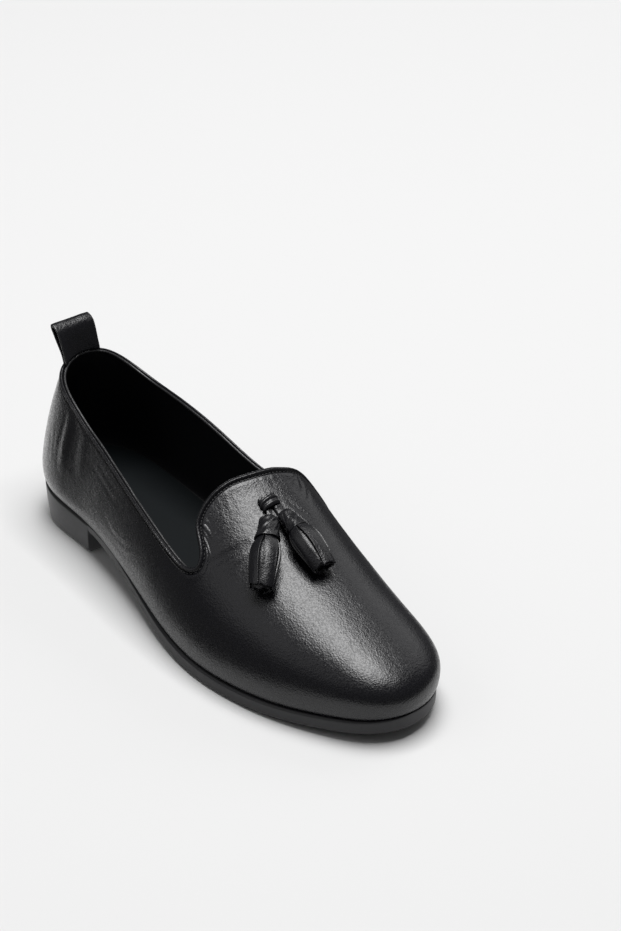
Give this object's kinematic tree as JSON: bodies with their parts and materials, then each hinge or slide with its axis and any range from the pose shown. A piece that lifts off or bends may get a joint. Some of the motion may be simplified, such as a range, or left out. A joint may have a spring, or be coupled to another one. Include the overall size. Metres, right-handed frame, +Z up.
{
  "type": "tassel slipper shoe",
  "caption": "Low black leather slip-on shoe for the right foot, with a raised instep tab, tassels on the vamp, a heel pull loop and a low-heeled rubber unit sole.",
  "frame": {"origin": "middle of the bottom of the whole box, on the floor under the shoe", "axes": "+X from heel to toe, +Y to the inner (medial) side of the right foot, +Z up"},
  "size_m": [0.258, 0.0884, 0.0933],
  "materials": {
    "upper_leather": "semi-gloss",
    "sole_rubber": "satin",
    "insole_lining": "matte"
  },
  "bodies": {
    "root": {"unit_sole": "sole_rubber", "upper": "upper_leather", "insole": "insole_lining", "pull_loop": "upper_leather", "keeper": "upper_leather", "thong_lateral": "upper_leather", "thong_medial": "upper_leather", "tassel_lateral": "upper_leather", "tassel_medial": "upper_leather"}
  },
  "joints": []
}
